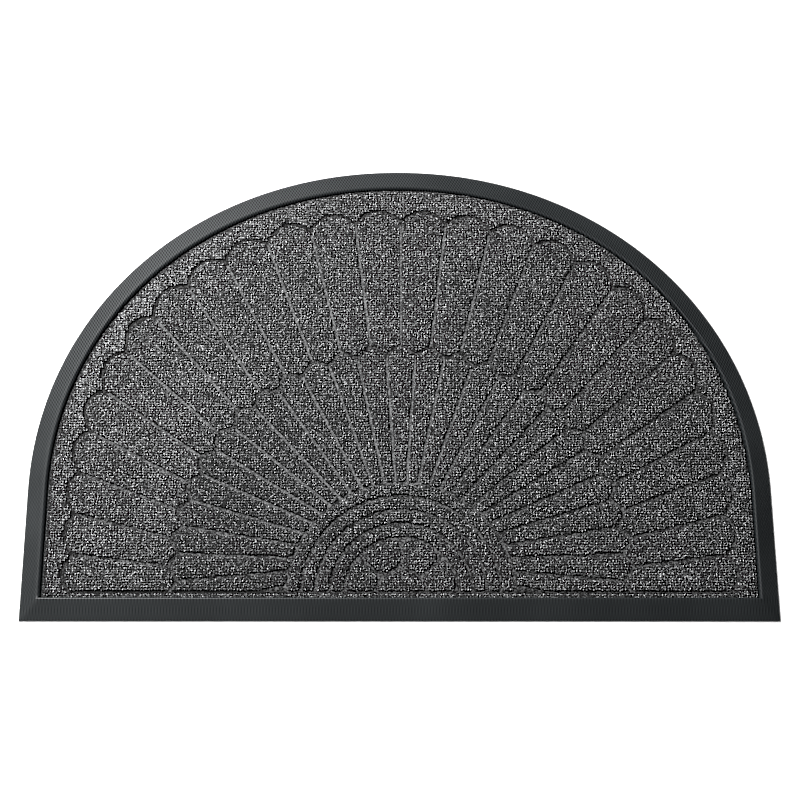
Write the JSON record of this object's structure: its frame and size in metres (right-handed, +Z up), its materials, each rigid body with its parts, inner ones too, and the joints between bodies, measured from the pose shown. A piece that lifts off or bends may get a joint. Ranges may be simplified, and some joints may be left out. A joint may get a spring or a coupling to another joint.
{
  "type": "doormat",
  "caption": "Half-round doormat of charcoal loop carpet pressed with a fan of petals, lying in a black rubber tray with a sloping border.",
  "frame": {"origin": "centre of the mat's outline box, on the underside that lies on the floor", "axes": "+X along the straight front edge, to the right; +Y from the straight edge to the arch; +Z up"},
  "size_m": [0.7, 0.45, 0.0078],
  "materials": {
    "rubber": "matt black rubber with a fine moulded grain",
    "carpet": "low loop pile in black and grey yarn, pressed with a fan pattern"
  },
  "bodies": {
    "root": {"rubber_base": "rubber", "carpet_inlay": "carpet"}
  },
  "joints": []
}
